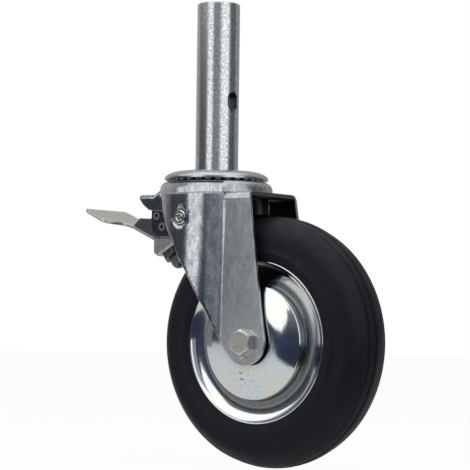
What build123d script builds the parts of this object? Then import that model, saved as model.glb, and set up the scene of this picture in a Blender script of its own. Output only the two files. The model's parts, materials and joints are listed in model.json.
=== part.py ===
from build123d import *
import math
import os

os.makedirs("parts", exist_ok=True)

# Scaffold castor, in millimetres.
# The origin is on the swivel axis, at the foot of the stem, where it stands on the bearing cap.
# +Z runs up the stem, +X towards the side on which the wheel trails, and the axle lies along Y.

# Stem
stem_radius = 17.5
stem_bore_radius = 14.0
stem_length = 138.4
slot_width = 11.0
slot_height = 16.0
slot_z = 57.0
slot_turn = -7.0

# Swivel bearing
cap_lip_radius = 42.4
ball_radius = 3.175
running_gap = 0.3
upper_ball_ring = 35.0
upper_ball_z = -6.9
upper_ball_count = 28
lower_ball_ring = 23.0
lower_ball_z = -15.45
lower_ball_count = 20
pin_radius = 10.0
race_top_z = -17.6
ring_top_z = -22.0
ring_bottom_z = -25.5
notch_count = 12
notch_width = 4.0

# Fork: one sheet, whose skirt and legs flare downwards by a small draft
sheet = 3.2
draft = 0.047
crown_top_z = -8.2
crown_under_z = -12.2
crown_radius = 46.0
shoulder_radius = 7.0
crease_z = -19.4
crease_radius = 0.7
crease_angle = 80
crease_starts = (-128, 48)
leg_top_z = -18.5
leg_half_width = 32.9
leg_bend = 6.0
valley_z = -25.0
foot_z = -165.0
hood_half_width = 20.5
hood_sheet = 3.0

# Wheel
trail = 58.3
axle_drop = 137.7
wheel_radius = 100.0
tyre_half_width = 25.0
bead_radius = 71.3
bead_height = 0.5
groove_spots = ((4.0, 99.7), (10.8, 97.8))
groove_depth = 0.9
rim_sheet = 2.5
hub_half_length = 33.3
hub_radius = 17.0
hub_washer_radius = 12.3
seat_outer_y = 38.6
seat_inner_y = 34.65
bolt_radius = 6.0
bolt_flats = 18.0
bolt_head = 7.46
roller_radius = 2.0
roller_ring = 11.05
roller_count = 14

# Brake
pivot_x = -1.1
pivot_z = -38.9
rivet_radius = 4.0
recess_y = 46.4
lever_half_width = 14.0
lever_sheet = 2.5
pedal_half_width = 29.0
pedal_sheet = 3.0
tongue_half_width = 12.0
plate_sheet = 2.5
screw_radius = 7.0
screw_slope = -60.0
screw_start = (-42.6, -62.6)
tip_length = 16.7
thread_depth = 6.0
nut_flats = 20.0
nut_start = 1.55
nut_end = 6.45
nut_face_radius = 9.8
nut_side_radius = 12.0
side_rivet_spots = ((-48.7, -35.2), (-43.1, -44.3))
side_rivet_radius = 2.2
pedal_rivet_spots = ((0, 5), (0, 17))
pedal_rivet_radius = 2.5
tooth_top_z = -27.5
dome_radius = 45.1
lip_radius = 63.45

# Side view: local x is X, local y is Z.
side = Plane.XZ
# Plane across the axle, and the plane of the sections that are turned about the axle:
# in a section x is the distance along the axle and y the radius.
axle_plane = Plane(origin=(trail, 0, -axle_drop), x_dir=(1, 0, 0), z_dir=(0, 1, 0))
wheel_section = Plane(origin=(trail, 0, -axle_drop), x_dir=(0, 1, 0), z_dir=(0, 0, -1))
axle_line = Axis((trail, 0, -axle_drop), (0, 1, 0))
tongue_plane = Plane(
    origin=(-75.3, 0, -43.1),
    x_dir=(0, -1, 0),
    z_dir=(10.7, 0, 23.4),
)
pivot_plane = Plane(origin=(pivot_x, 0, pivot_z), x_dir=(1, 0, 0), z_dir=(0, 1, 0))

# Stem tube with a cross slot through both walls
slot_plane = Plane(
    origin=(0, 0, slot_z),
    x_dir=(0, 0, 1),
    z_dir=(math.cos(math.radians(slot_turn)), math.sin(math.radians(slot_turn)), 0),
)
with BuildPart() as stem_tube:
    with BuildSketch():
        Circle(stem_radius)
        Circle(stem_bore_radius, mode=Mode.SUBTRACT)
    extrude(amount=stem_length)
    chamfer(stem_tube.faces().sort_by(Axis.Z)[-1].edges(), 0.9)
    with BuildSketch(slot_plane):
        SlotOverall(slot_height, slot_width)
    extrude(amount=stem_radius + 5, both=True, mode=Mode.SUBTRACT)
stem_tube.part.label = "stem_tube"
export_step(stem_tube.part, "parts/stem_tube.step")

# King pin: plug in the stem's foot, shank through the bearing, riveted head below the lock ring
pin_head_radius = 14.0
pin_head_z = -30.0
with BuildPart() as king_pin:
    with BuildSketch():
        Circle(stem_bore_radius)
    extrude(amount=18)
    chamfer(king_pin.edges().sort_by(Axis.Z)[-1], 1)
    with BuildSketch(Plane.XY.offset(ring_bottom_z)):
        Circle(pin_radius)
    extrude(amount=-ring_bottom_z)
    with BuildSketch(Plane.XY.offset(pin_head_z)):
        Circle(pin_head_radius)
    extrude(amount=ring_bottom_z - pin_head_z)
    fillet(king_pin.edges().sort_by(Axis.Z)[0], 2.4)
king_pin.part.label = "king_pin"
export_step(king_pin.part, "parts/king_pin.step")

# Bearing cap: a dished washer whose lip hangs over the upper balls
race_edge = 2.9
with BuildPart() as bearing_cap:
    with BuildSketch(Plane.XZ):
        with BuildLine():
            Polyline((cap_lip_radius, -5.4), (cap_lip_radius, -6.7), (40.8, -6.7), (40.4, -5.6))
            Line((40.4, -5.6), (upper_ball_ring + race_edge, -4.9))
            ThreePointArc(
                (upper_ball_ring + race_edge, -4.9),
                (upper_ball_ring, upper_ball_z + ball_radius + running_gap),
                (upper_ball_ring - race_edge, -4.9),
            )
            Polyline((upper_ball_ring - race_edge, -4.9), (30, -3.4), (pin_radius, -3.4), (pin_radius, 0), (30, 0))
            Spline(
                (30, 0),
                (35.3, -0.6),
                (39.8, -2.5),
                (cap_lip_radius, -5.4),
                tangents=((1, 0), (0.3, -1)),
            )
        make_face()
    revolve(axis=Axis.Z)
bearing_cap.part.label = "bearing_cap"
export_step(bearing_cap.part, "parts/bearing_cap.step")

# Spacer sleeve on the pin, which sets the play of the two rings of balls
with BuildPart() as spacer_sleeve:
    with BuildSketch(Plane.XY.offset(race_top_z)):
        Circle(12.6)
        Circle(pin_radius, mode=Mode.SUBTRACT)
    extrude(amount=-3.4 - race_top_z)
spacer_sleeve.part.label = "spacer_sleeve"
export_step(spacer_sleeve.part, "parts/spacer_sleeve.step")

# Lower race: a turned cup for the lower balls
with BuildPart() as lower_race:
    with BuildSketch(Plane.XZ):
        with BuildLine():
            Polyline(
                (lower_ball_ring - 2.7, race_top_z),
                (pin_radius, race_top_z),
                (pin_radius, ring_top_z),
                (29, ring_top_z),
                (31, -20),
                (31, -16.6),
                (28.8, -16.6),
                (28.8, race_top_z),
                (lower_ball_ring + 2.7, race_top_z),
            )
            ThreePointArc(
                (lower_ball_ring + 2.7, race_top_z),
                (lower_ball_ring, lower_ball_z - ball_radius - running_gap),
                (lower_ball_ring - 2.7, race_top_z),
            )
        make_face()
    revolve(axis=Axis.Z)
lower_race.part.label = "lower_race"
export_step(lower_race.part, "parts/lower_race.step")

# Lock ring: a disc with radial notches
with BuildPart() as lock_ring:
    with BuildSketch(Plane.XY.offset(ring_bottom_z)):
        Circle(27)
        Circle(pin_radius, mode=Mode.SUBTRACT)
        with PolarLocations(23, notch_count):
            Rectangle(13, notch_width, mode=Mode.SUBTRACT)
    extrude(amount=ring_top_z - ring_bottom_z)
lock_ring.part.label = "lock_ring"
export_step(lock_ring.part, "parts/lock_ring.step")

# Loose balls of the two rings
with BuildPart() as upper_balls:
    with Locations((0, 0, upper_ball_z)):
        with PolarLocations(upper_ball_ring, upper_ball_count):
            Sphere(ball_radius)
upper_balls.part.label = "upper_balls"
export_step(upper_balls.part, "parts/upper_balls.step")

with BuildPart() as lower_balls:
    with Locations((0, 0, lower_ball_z)):
        with PolarLocations(lower_ball_ring, lower_ball_count):
            Sphere(ball_radius)
lower_balls.part.label = "lower_balls"
export_step(lower_balls.part, "parts/lower_balls.step")


def press_form(inset, bend, valley, top):
    """Solid form of the fork's crown, skirt and legs, set in from the outside of the sheet by the inset."""
    slab_top = leg_top_z - inset
    corner = max(shoulder_radius - inset, 1)
    rim = crown_radius - inset
    with BuildPart() as form:
        for level in (slab_top, valley_z):
            with BuildSketch(Plane.XY.offset(level)):
                with Locations((52, 0)):
                    Rectangle(64, 2 * (leg_half_width - inset + draft * (leg_top_z - level)))
        loft()
        fillet(form.edges().group_by(Axis.Z)[-1].filter_by(Axis.X), bend)
        with BuildSketch(Plane.XZ):
            with BuildLine():
                Line((0, top), (rim - corner, top))
                RadiusArc((rim - corner, top), (rim, top - corner), corner)
                Polyline(
                    (rim, top - corner),
                    (rim, leg_top_z),
                    (rim + draft * (leg_top_z - valley_z), valley_z),
                    (0, valley_z),
                    (0, top),
                )
            make_face()
        revolve(axis=Axis.Z)
        for level in (valley_z, foot_z):
            flare = draft * (leg_top_z - level)
            with BuildSketch(Plane.XY.offset(level)) as outline:
                Circle(rim + flare)
                with Locations((52, 0)):
                    Rectangle(64, 2 * (leg_half_width - inset + flare))
                fillet(outline.vertices().filter_by(lambda point: 25 < point.X < 45), valley)
        loft()
    return form.part


# Side outline of the pressing: dome on top, slanting front edge, leg end round the axle, rear edge
with BuildPart() as side_outline:
    with BuildSketch(side):
        with BuildLine():
            Polyline((57, leg_top_z), (57, -2), (-60, -2), (-60, -15.2), (-32.6, -15.2))
            Spline(
                (-32.6, -15.2),
                (-24, -33.3),
                (-14.1, -50.9),
                (-7.9, -58.6),
                (-3.2, -68.2),
                (5.8, -82),
                (17.7, -103.6),
                (24.4, -115.1),
                (29.2, -126.4),
                (43.2, -148.0),
            )
            ThreePointArc((43.2, -148.0), (60.9, -155.8), (76.4, -134.9))
            Spline((76.4, -134.9), (70.2, -103), (66.6, -83), (63.7, -62.7), (59.6, -39.5), (57, leg_top_z))
        make_face()
    extrude(amount=60, both=True)

# Hood: an inverted channel that carries the sheet out over the brake lever
with BuildPart() as hood:
    with BuildSketch(side):
        with BuildLine():
            Polyline(
                (-28, -31.5),
                (-28, -10.5),
                (-38, -10.7),
                (-44.7, -14.5),
                (-49.9, -17.9),
                (-64.5, -17.6),
                (-64.2, -21),
                (-60.3, -26),
                (-53.9, -30.6),
                (-40.2, -31.8),
                (-28, -31.5),
            )
        make_face()
    extrude(amount=hood_half_width, both=True)
    top_edges = hood.edges().filter_by(lambda edge: edge.center().Z > -18.2 and edge.center().X < -36)
    top_edges = top_edges.filter_by(lambda edge: abs(edge.center().Y) > hood_half_width - 0.1)
    fillet(top_edges, 3.8)
    with BuildSketch(side):
        with BuildLine():
            Polyline(
                (-20, -40),
                (-20, -12.2),
                (-37, -13.4),
                (-43.1, -17.2),
                (-49, -20.9),
                (-70, -20.6),
                (-70, -40),
                (-20, -40),
            )
        make_face()
    extrude(amount=hood_half_width - hood_sheet, both=True, mode=Mode.SUBTRACT)

# Fork: crown, skirt, roof and legs as the skin between two forms, open in front and behind
with BuildPart() as fork:
    add(press_form(0, leg_bend, 4.0, crown_top_z))
    add(press_form(sheet, leg_bend - sheet, 4.0 + sheet, crown_under_z), mode=Mode.SUBTRACT)
    add(side_outline.part, mode=Mode.INTERSECT)
    add(hood.part)
    # Raised ring for the upper balls, sunk middle and the hole for the pin
    with BuildSketch(Plane.XY.offset(crown_top_z - 1)):
        Circle(upper_ball_ring - 3)
    extrude(amount=5, mode=Mode.SUBTRACT)
    with BuildSketch(Plane.XY.offset(crown_top_z - 6)):
        Circle(16)
    extrude(amount=10, mode=Mode.SUBTRACT)
    with Locations((0, 0, upper_ball_z)):
        Torus(upper_ball_ring, ball_radius + 0.03, mode=Mode.SUBTRACT)
    # Crease that the press leaves under the crown's shoulder, on both sides
    for start in crease_starts:
        with Locations((0, 0, crease_z)):
            Torus(
                crown_radius + crease_radius / 2,
                crease_radius,
                major_angle=crease_angle,
                rotation=(0, 0, start),
                mode=Mode.SUBTRACT,
            )
    # Holes for the pivot rivet with their flats, and for the axle bolt
    with BuildSketch(pivot_plane):
        Circle(rivet_radius + 0.02)
    extrude(amount=60, both=True, mode=Mode.SUBTRACT)
    for hand in (1, -1):
        with BuildSketch(pivot_plane.offset(hand * recess_y)):
            Circle(7)
        extrude(amount=hand * 6, mode=Mode.SUBTRACT)
        with BuildSketch(axle_plane.offset(hand * seat_outer_y)):
            Circle(11.5)
        extrude(amount=hand * 4, mode=Mode.SUBTRACT)
    with BuildSketch(axle_plane):
        Circle(bolt_radius + 0.1)
    extrude(amount=60, both=True, mode=Mode.SUBTRACT)
fork.part.label = "fork"
export_step(fork.part, "parts/fork.step")

# Rivet on which the brake lever turns; its heads are rolled round a dimple
rivet_head_y = recess_y + 1.3
rivet_head_radius = 5.6
with BuildPart() as brake_pivot:
    with BuildSketch(Plane(origin=(pivot_x, 0, pivot_z), x_dir=(0, 1, 0), z_dir=(0, 0, -1))):
        with BuildLine():
            Polyline(
                (-recess_y, rivet_radius),
                (-recess_y, rivet_head_radius),
                (-rivet_head_y + 0.6, rivet_head_radius),
                (-rivet_head_y, rivet_head_radius - 0.7),
                (-rivet_head_y, 3.5),
                (-rivet_head_y + 0.7, 2.9),
                (-rivet_head_y + 0.1, 2.2),
                (-rivet_head_y + 0.1, 1.1),
                (-rivet_head_y + 1.1, 0.7),
                (-rivet_head_y + 1.1, 0),
                (rivet_head_y - 1.1, 0),
                (rivet_head_y - 1.1, 0.7),
                (rivet_head_y - 0.1, 1.1),
                (rivet_head_y - 0.1, 2.2),
                (rivet_head_y - 0.7, 2.9),
                (rivet_head_y, 3.5),
                (rivet_head_y, rivet_head_radius - 0.7),
                (rivet_head_y - 0.6, rivet_head_radius),
                (recess_y, rivet_head_radius),
                (recess_y, rivet_radius),
                (-recess_y, rivet_radius),
            )
        make_face()
    revolve(axis=Axis((pivot_x, 0, pivot_z), (0, 1, 0)))
brake_pivot.part.label = "brake_pivot"
export_step(brake_pivot.part, "parts/brake_pivot.step")

# Sleeves on the rivet at both sides of the lever
with BuildPart() as pivot_spacers:
    for hand in (1, -1):
        with BuildSketch(pivot_plane.offset(hand * (lever_half_width + running_gap))):
            Circle(6.5)
            Circle(rivet_radius + 0.02, mode=Mode.SUBTRACT)
        extrude(amount=hand * (42.6 - lever_half_width - running_gap))
pivot_spacers.part.label = "pivot_spacers"
export_step(pivot_spacers.part, "parts/pivot_spacers.step")

# Axle bolt with a round-chamfered hexagon head, its washer and nut
face_y = -seat_outer_y - bolt_head
with BuildPart() as axle_bolt:
    with BuildSketch(axle_plane.offset(-seat_outer_y)):
        RegularPolygon(bolt_flats / 2, 6, major_radius=False, rotation=30)
    extrude(amount=-bolt_head)
    with BuildSketch(wheel_section):
        with BuildLine():
            Polyline(
                (face_y, 0),
                (face_y, 8.3),
                (face_y + 1.6, 11),
                (-seat_outer_y, 11),
                (-seat_outer_y, 0),
                (face_y, 0),
            )
        make_face()
    revolve(axis=axle_line, mode=Mode.INTERSECT)
    with BuildSketch(axle_plane.offset(-seat_outer_y)):
        Circle(bolt_radius)
    extrude(amount=2 * seat_outer_y + 14.5)
    chamfer(axle_bolt.faces().sort_by(Axis.Y)[-1].edges(), 1)
axle_bolt.part.label = "axle_bolt"
export_step(axle_bolt.part, "parts/axle_bolt.step")

with BuildPart() as axle_washer:
    with BuildSketch(axle_plane.offset(seat_outer_y)):
        Circle(11.2)
        Circle(bolt_radius + 0.3, mode=Mode.SUBTRACT)
    extrude(amount=1.8)
axle_washer.part.label = "axle_washer"
export_step(axle_washer.part, "parts/axle_washer.step")

nut_face_y = seat_outer_y + 11.8
with BuildPart() as axle_nut:
    with BuildSketch(axle_plane.offset(seat_outer_y + 1.8)):
        RegularPolygon(bolt_flats / 2, 6, major_radius=False)
        Circle(bolt_radius, mode=Mode.SUBTRACT)
    extrude(amount=10)
    with BuildSketch(wheel_section):
        with BuildLine():
            Polyline(
                (nut_face_y, 0),
                (nut_face_y, 8.6),
                (nut_face_y - 1.3, 11),
                (seat_outer_y, 11),
                (seat_outer_y, 0),
                (nut_face_y, 0),
            )
        make_face()
    revolve(axis=axle_line, mode=Mode.INTERSECT)
axle_nut.part.label = "axle_nut"
export_step(axle_nut.part, "parts/axle_nut.step")

# Sleeve clamped between the legs, and the washers on it
sleeve_radius = roller_ring - roller_radius - 0.05
with BuildPart() as axle_sleeve:
    with BuildSketch(axle_plane):
        Circle(sleeve_radius)
        Circle(bolt_radius + 0.1, mode=Mode.SUBTRACT)
    extrude(amount=seat_inner_y, both=True)
axle_sleeve.part.label = "axle_sleeve"
export_step(axle_sleeve.part, "parts/axle_sleeve.step")

with BuildPart() as hub_washers:
    for hand in (1, -1):
        with BuildSketch(axle_plane.offset(hand * (hub_half_length + 0.4))):
            Circle(hub_washer_radius)
            Circle(sleeve_radius + 0.02, mode=Mode.SUBTRACT)
        extrude(amount=hand * (seat_inner_y - hub_half_length - 0.4))
hub_washers.part.label = "hub_washers"
export_step(hub_washers.part, "parts/hub_washers.step")


def rim_half(hand):
    """One pressed disc of the rim: domed middle, round groove, lip against the tyre; hand 1 is +Y."""
    hub_y = hand * hub_half_length
    inner_y = hand * (hub_half_length - rim_sheet)
    with BuildPart() as disc:
        with BuildSketch(wheel_section):
            with BuildLine():
                Line((hub_y, hub_radius), (hub_y, 21))
                Spline(
                    (hub_y, 21),
                    (hand * 32.0, 33),
                    (hand * 28.1, dome_radius),
                    tangents=((0, 1), (-hand * 0.55, 0.83)),
                )
                Line((hand * 28.1, dome_radius), (hand * 21.6, 46.2))
                Spline(
                    (hand * 21.6, 46.2),
                    (hand * 20.6, 47.8),
                    (hand * 20.6, 53),
                    (hand * 21.9, 58.8),
                    (hand * 25.2, lip_radius),
                    tangents=((-hand * 0.98, 0.17), (hand * 0.75, 0.66)),
                )
                Line((hand * 25.2, lip_radius), (hand * 23.4, lip_radius + 0.9))
                Spline(
                    (hand * 23.4, lip_radius + 0.9),
                    (hand * 19.4, 60.4),
                    (hand * 18.5, 56.6),
                    (hand * 18.1, 52.5),
                    (hand * 18.2, 48.0),
                    (hand * 19.6, 44.9),
                    (hand * 22.6, 43.7),
                    (hand * 26.0, 43.0),
                    tangents=((-hand * 0.7, -0.72), (hand * 0.97, -0.2)),
                )
                Spline(
                    (hand * 26.0, 43.0),
                    (hand * 29.6, 32.5),
                    (inner_y, 21),
                    tangents=((hand * 0.55, -0.83), (0, -1)),
                )
                Polyline((inner_y, 21), (inner_y, hub_radius), (hub_y, hub_radius))
            make_face()
        revolve(axis=axle_line)
    return disc.part


with BuildPart() as rim_near:
    add(rim_half(-1))
rim_near.part.label = "rim_near"
export_step(rim_near.part, "parts/rim_near.step")

with BuildPart() as rim_far:
    add(rim_half(1))
rim_far.part.label = "rim_far"
export_step(rim_far.part, "parts/rim_far.step")

# Solid rubber tyre, moulded on the two discs, with four grooves round the tread
with BuildPart() as tyre:
    for hand in (1, -1):
        with BuildSketch(wheel_section):
            with BuildLine():
                Line((0, 57), (0, wheel_radius))
                Spline(
                    (0, wheel_radius),
                    (hand * 4, 99.7),
                    (hand * 10, 98.1),
                    (hand * 16, 95),
                    (hand * 22, 90),
                    (hand * 24.6, 85),
                    (hand * tyre_half_width, 79),
                    tangents=((hand * 1, 0), (0, -1)),
                )
                Polyline(
                    (hand * tyre_half_width, 79),
                    (hand * tyre_half_width, bead_radius + 1),
                    (hand * (tyre_half_width + bead_height), bead_radius + 0.4),
                    (hand * (tyre_half_width + bead_height), bead_radius - 0.4),
                    (hand * tyre_half_width, bead_radius - 1),
                    (hand * tyre_half_width, lip_radius + 0.3),
                )
                Line((hand * tyre_half_width, lip_radius + 0.3), (hand * 23.4, lip_radius + 1.1))
                Spline(
                    (hand * 23.4, lip_radius + 1.1),
                    (hand * 19.3, 60.6),
                    (hand * 18.2, 57),
                    tangents=((-hand * 0.7, -0.72), (-hand * 0.25, -1)),
                )
                Line((hand * 18.2, 57), (0, 57))
            make_face()
        revolve(axis=axle_line)
    for along, radius in groove_spots:
        with BuildSketch(wheel_section):
            with Locations((along, radius), (-along, radius)):
                Rectangle(0.9, 2 * groove_depth)
        revolve(axis=axle_line, mode=Mode.SUBTRACT)
tyre.part.label = "tyre"
export_step(tyre.part, "parts/tyre.step")

# Hub tube with the needle rollers, their cage and the seals
with BuildPart() as hub_tube:
    with BuildSketch(axle_plane):
        Circle(hub_radius)
        Circle(roller_ring + roller_radius + 0.05, mode=Mode.SUBTRACT)
    extrude(amount=hub_half_length, both=True)
hub_tube.part.label = "hub_tube"
export_step(hub_tube.part, "parts/hub_tube.step")

with BuildPart() as rollers:
    with BuildSketch(axle_plane):
        with PolarLocations(roller_ring, roller_count):
            Circle(roller_radius)
    extrude(amount=14, both=True)
rollers.part.label = "rollers"
export_step(rollers.part, "parts/rollers.step")

with BuildPart() as roller_cage:
    with BuildSketch(axle_plane):
        Circle(roller_ring + 1.0)
        Circle(roller_ring - 1.0, mode=Mode.SUBTRACT)
    extrude(amount=17, both=True)
    with BuildSketch(axle_plane):
        with PolarLocations(roller_ring, roller_count):
            Circle(roller_radius + 0.1)
    extrude(amount=14.2, both=True, mode=Mode.SUBTRACT)
roller_cage.part.label = "roller_cage"
export_step(roller_cage.part, "parts/roller_cage.step")

with BuildPart() as hub_seals:
    for hand in (1, -1):
        with BuildSketch(axle_plane.offset(hand * (hub_half_length - 4))):
            Circle(roller_ring + roller_radius + 0.05)
            Circle(sleeve_radius + 0.3, mode=Mode.SUBTRACT)
        extrude(amount=hand * 4)
hub_seals.part.label = "hub_seals"
export_step(hub_seals.part, "parts/hub_seals.step")

# Brake lever: a channel with its web below and the pivot eyes in its flanges
with BuildPart() as brake_lever:
    with BuildSketch(side):
        with BuildLine():
            Polyline(
                (-75.3, -43.1),
                (-74.7, -41.9),
                (-68.7, -36.5),
                (-57, -37.2),
                (-52, -31.8),
                (pivot_x, -31.2),
                (26, -34),
                (26, -39.5),
                (20, -41.3),
                (pivot_x, -46.9),
                (-51.9, -53.8),
                (-75.3, -43.1),
            )
        make_face()
    extrude(amount=lever_half_width, both=True)
    with BuildSketch(side):
        with BuildLine():
            Polyline(
                (-80, -38.2),
                (-51.9, -51.05),
                (-49, -60),
                (40, -60),
                (40, -20),
                (-80, -20),
                (-80, -38.2),
            )
        make_face()
    extrude(amount=lever_half_width - lever_sheet, both=True, mode=Mode.SUBTRACT)
    with BuildSketch(pivot_plane):
        Circle(rivet_radius + 0.06)
    extrude(amount=20, both=True, mode=Mode.SUBTRACT)
    for spot in side_rivet_spots:
        with BuildSketch(side):
            with Locations(spot):
                Circle(side_rivet_radius + 0.02)
        extrude(amount=20, both=True, mode=Mode.SUBTRACT)
    for spot in pedal_rivet_spots:
        with BuildSketch(tongue_plane):
            with Locations(spot):
                Circle(pedal_rivet_radius + 0.02)
        extrude(amount=10, both=True, mode=Mode.SUBTRACT)
brake_lever.part.label = "brake_lever"
export_step(brake_lever.part, "parts/brake_lever.step")

# Foot plate: a wide pad, bent down to a narrow tongue that lies under the lever's web
with BuildPart() as pedal_plate:
    with BuildSketch(side) as edge_line:
        with BuildLine():
            Polyline(
                (-117, -30.5),
                (-97.5, -39.9),
                (-78.2, -44.85),
                (-55.8, -54.98),
                (-54.6, -52.6),
                (-77.05, -42.32),
                (-98.6, -37.1),
                (-118.3, -27.8),
                (-117, -30.5),
            )
        make_face()
        for bend_x, bend_radius in ((-97.5, 18), (-98.6, 15), (-77.05, 18), (-78.2, 15)):
            fillet(edge_line.vertices().filter_by(lambda point: abs(point.X - bend_x) < 0.1), bend_radius)
    extrude(amount=pedal_half_width, both=True)
    with BuildSketch(Plane.XY):
        with BuildLine():
            Line((-119, 0), (-119, -21))
            ThreePointArc((-119, -21), (-116.7, -26.7), (-111, -29))
            Line((-111, -29), (-99, -29))
            Spline((-99, -29), (-93, -26), (-89, -18), (-84, -tongue_half_width), tangents=((1, 0), (1, -0.1)))
            Polyline((-84, -tongue_half_width), (-50, -tongue_half_width), (-50, 0), (-119, 0))
        make_face()
        mirror(about=Plane.XZ)
    extrude(amount=-80, mode=Mode.INTERSECT)
    for spot in pedal_rivet_spots:
        with BuildSketch(tongue_plane):
            with Locations(spot):
                Circle(pedal_rivet_radius + 0.02)
        extrude(amount=10, both=True, mode=Mode.SUBTRACT)
pedal_plate.part.label = "pedal_plate"
export_step(pedal_plate.part, "parts/pedal_plate.step")

# Two solid rivets hold the foot plate's tongue to the web
with BuildPart() as pedal_rivets:
    for spot in pedal_rivet_spots:
        with BuildSketch(tongue_plane.offset(-pedal_sheet - 1.2)):
            with Locations(spot):
                Circle(pedal_rivet_radius + 1.6)
        extrude(amount=1.2)
        with BuildSketch(tongue_plane.offset(-pedal_sheet)):
            with Locations(spot):
                Circle(pedal_rivet_radius)
        extrude(amount=pedal_sheet + lever_sheet + 0.05)
        with BuildSketch(tongue_plane.offset(lever_sheet + 0.05)):
            with Locations(spot):
                Circle(pedal_rivet_radius + 1.6)
        extrude(amount=1.2)
pedal_rivets.part.label = "pedal_rivets"
export_step(pedal_rivets.part, "parts/pedal_rivets.step")


def side_plate(hand):
    """Flat plate outside one flange of the lever; the hand is 1 for +Y and -1 for -Y."""
    with BuildPart() as plate:
        with BuildSketch(side.offset(-hand * lever_half_width)) as face:
            with BuildLine():
                Polyline(
                    (-54.2, -29.5),
                    (-54.2, -52.5),
                    (-17, -52.5),
                    (-17, -31),
                    (-54.2, -29.5),
                )
            make_face()
            fillet(face.vertices().filter_by(lambda point: point.X > -20), 4)
            fillet(face.vertices().filter_by(lambda point: point.X < -50 and point.Y < -50), 8)
            for spot in side_rivet_spots:
                with Locations(spot):
                    Circle(side_rivet_radius + 0.02, mode=Mode.SUBTRACT)
        extrude(amount=-hand * plate_sheet)
    return plate.part


with BuildPart() as brake_side_near:
    add(side_plate(-1))
brake_side_near.part.label = "brake_side_near"
export_step(brake_side_near.part, "parts/brake_side_near.step")

with BuildPart() as brake_side_far:
    add(side_plate(1))
brake_side_far.part.label = "brake_side_far"
export_step(brake_side_far.part, "parts/brake_side_far.step")

# Hollow rivets through plates, lever and block
plate_y = lever_half_width + plate_sheet
with BuildPart() as side_rivets:
    for spot in side_rivet_spots:
        with BuildSketch(side):
            with Locations(spot):
                Circle(side_rivet_radius)
        extrude(amount=plate_y, both=True)
        for hand in (1, -1):
            with BuildSketch(side.offset(hand * plate_y)):
                with Locations(spot):
                    Circle(3.4)
            extrude(amount=hand * 0.65)
        with BuildSketch(side):
            with Locations(spot):
                Circle(1.4)
        extrude(amount=20, both=True, mode=Mode.SUBTRACT)
side_rivets.part.label = "side_rivets"
export_step(side_rivets.part, "parts/side_rivets.step")

# Block that carries the adjusting screw: a neck between the flanges and a wider foot below
screw_plane = Plane(
    origin=(screw_start[0], 0, screw_start[1]),
    x_dir=(0, 1, 0),
    z_dir=(math.cos(math.radians(screw_slope)), 0, math.sin(math.radians(screw_slope))),
)
# Section through the screw: local x runs along the screw, from the block's end face, y is the radius.
screw_section = Plane(
    origin=screw_plane.origin,
    x_dir=screw_plane.z_dir,
    z_dir=(0, 1, 0),
)
screw_line = Axis(screw_plane.origin, screw_plane.z_dir)
with BuildPart() as brake_block:
    with BuildSketch(side) as foot:
        with BuildLine():
            Polyline(
                (-54.4, -54.6),
                (-54.4, -66),
                (-49.95, -68.6),
                (-33.55, -59.1),
                (-33.2, -53.9),
                (-54.4, -54.6),
            )
        make_face()
        fillet(foot.vertices().filter_by(lambda point: point.Y < -60), 1.6)
    extrude(amount=lever_half_width, both=True)
    end_face = brake_block.faces().sort_by(screw_line)[-1]
    chamfer(end_face.edges().filter_by(lambda edge: abs(edge.center().Y) > lever_half_width - 0.1), 1.5)
    with BuildSketch(side):
        with BuildLine():
            Polyline((-49.5, -58), (-49.5, -42), (-45, -39), (-38, -39), (-33, -44), (-33, -56), (-49.5, -58))
        make_face()
    extrude(amount=lever_half_width - lever_sheet, both=True)
    with BuildSketch(side):
        with Locations(side_rivet_spots[1]):
            Circle(side_rivet_radius + 0.02)
    extrude(amount=20, both=True, mode=Mode.SUBTRACT)
    with BuildSketch(screw_plane):
        Circle(screw_radius)
    extrude(amount=thread_depth, both=True, mode=Mode.SUBTRACT)
brake_block.part.label = "brake_block"
export_step(brake_block.part, "parts/brake_block.step")

# Lock nut on the screw, with its outer corners turned round
with BuildPart() as lock_nut:
    with BuildSketch(screw_plane.offset(nut_start)):
        RegularPolygon(nut_flats / 2, 6, major_radius=False, rotation=30)
        Circle(screw_radius, mode=Mode.SUBTRACT)
    extrude(amount=nut_end - nut_start)
    with BuildSketch(screw_section):
        with BuildLine():
            Polyline(
                (nut_start, 0),
                (nut_start, nut_flats),
                (nut_end - 1.2, nut_side_radius),
                (nut_end, nut_face_radius),
                (nut_end, 0),
                (nut_start, 0),
            )
        make_face()
    revolve(axis=screw_line, mode=Mode.INTERSECT)
lock_nut.part.label = "lock_nut"
export_step(lock_nut.part, "parts/lock_nut.step")

# Adjusting screw with worn ridges and a rounded end, which presses on the tyre
with BuildPart() as adjusting_screw:
    with BuildSketch(screw_section):
        with BuildLine():
            Polyline(
                (tip_length, 0),
                (-thread_depth, 0),
                (-thread_depth, screw_radius),
                (6.6, screw_radius),
                (7.3, 7.2),
                (8.3, 7.2),
                (9.1, 6.4),
                (9.7, 6.4),
                (10.4, 6.95),
                (11.3, 6.9),
                (12.1, 6.1),
                (12.6, 6.1),
                (13.2, 6.3),
            )
            ThreePointArc((13.2, 6.3), (14.83, 5.13), (tip_length, 0.6))
            Line((tip_length, 0.6), (tip_length, 0))
        make_face()
    revolve(axis=screw_line)
adjusting_screw.part.label = "adjusting_screw"
export_step(adjusting_screw.part, "parts/adjusting_screw.step")

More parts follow.
